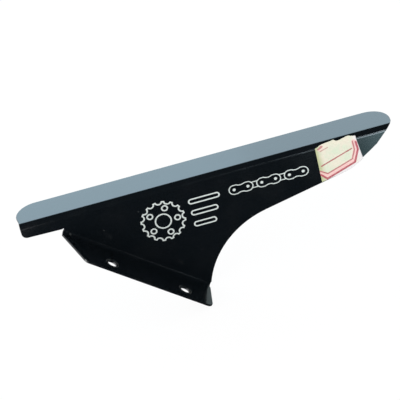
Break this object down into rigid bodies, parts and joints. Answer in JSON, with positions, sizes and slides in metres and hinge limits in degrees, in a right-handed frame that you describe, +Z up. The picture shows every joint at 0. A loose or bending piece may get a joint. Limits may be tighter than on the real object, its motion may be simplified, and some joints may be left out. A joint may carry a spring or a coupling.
{
  "type": "motorcycle chain guard",
  "caption": "Black anodised aluminium chain guard: one folded sheet with a top flange over the chain, a tapering side web, a sloping bolt-down foot and a paper price label.",
  "frame": {"origin": "midway between the two bolt holes, on the underside of the foot", "axes": "+X to the rear along the top fold, +Y inboard towards the wheel, +Z up, square to the top flange"},
  "size_m": [0.3514, 0.0745, 0.1151],
  "materials": {
    "anodised_aluminium": "black anodised, satin, with the engraving cut through to bare metal",
    "label_paper": "matte cream paper with red printed lines"
  },
  "bodies": {
    "root": {"guard_sheet": "anodised_aluminium", "price_label": "label_paper"}
  },
  "joints": []
}
